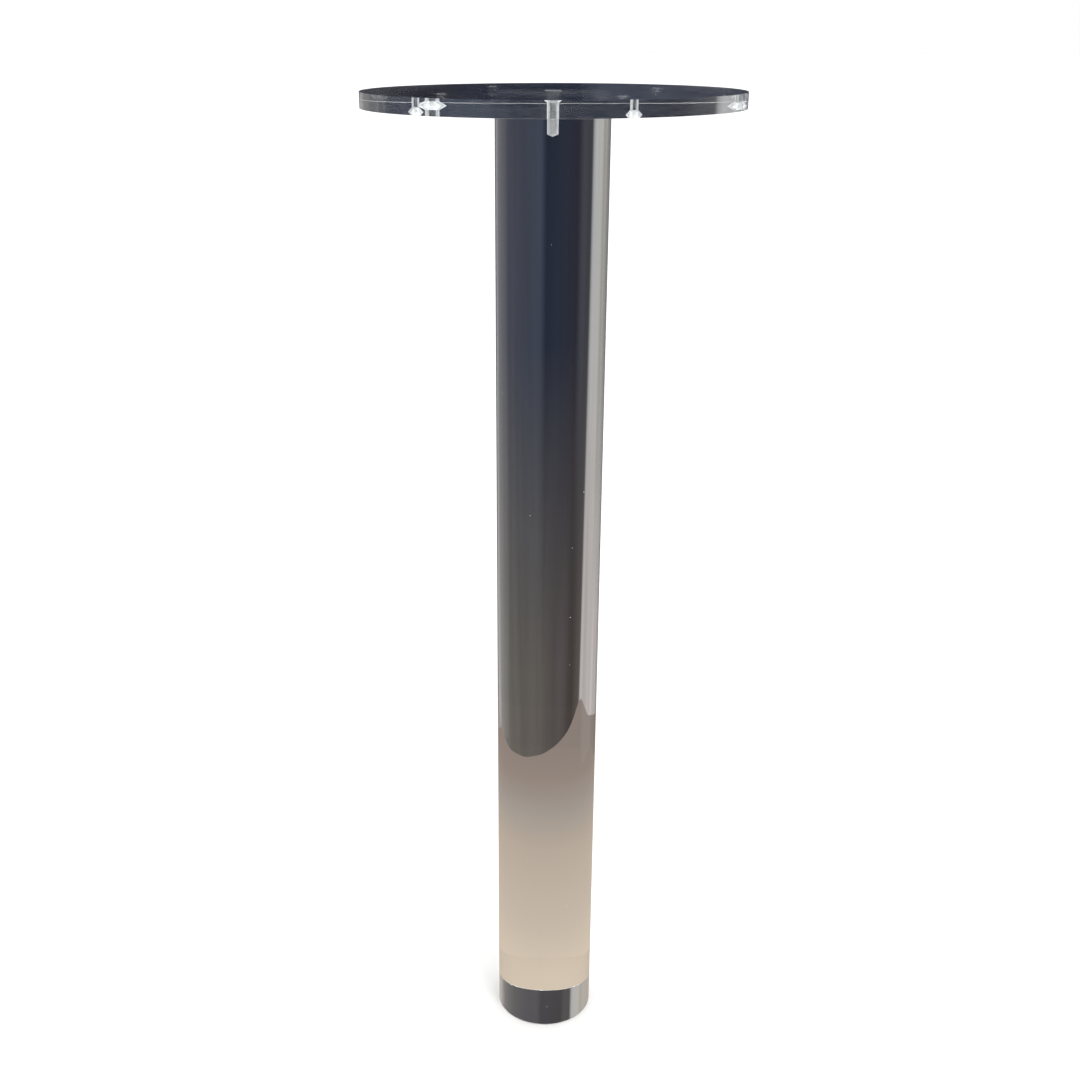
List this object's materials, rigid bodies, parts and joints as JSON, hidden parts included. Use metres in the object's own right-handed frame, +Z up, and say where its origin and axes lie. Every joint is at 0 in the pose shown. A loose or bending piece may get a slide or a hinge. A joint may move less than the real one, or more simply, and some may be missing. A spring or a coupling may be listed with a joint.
{
  "type": "acrylic pedestal leg",
  "caption": "Clear solid acrylic rod standing on its flat end, with a round clear mounting plate screwed on top and a ring of countersunk holes.",
  "frame": {"origin": "centre of the rod's flat lower end, which stands on the floor", "axes": "+Z up along the rod towards the mounting plate; X and Y run midway between the mounting holes"},
  "size_m": [0.25, 0.25, 0.721],
  "materials": {
    "clear_acrylic": "polished cast acrylic, clear",
    "stainless_steel": "plain A2 stainless screw"
  },
  "bodies": {
    "root": {"post": "clear_acrylic", "mounting_plate": "clear_acrylic", "centre_screw": "stainless_steel"}
  },
  "joints": []
}
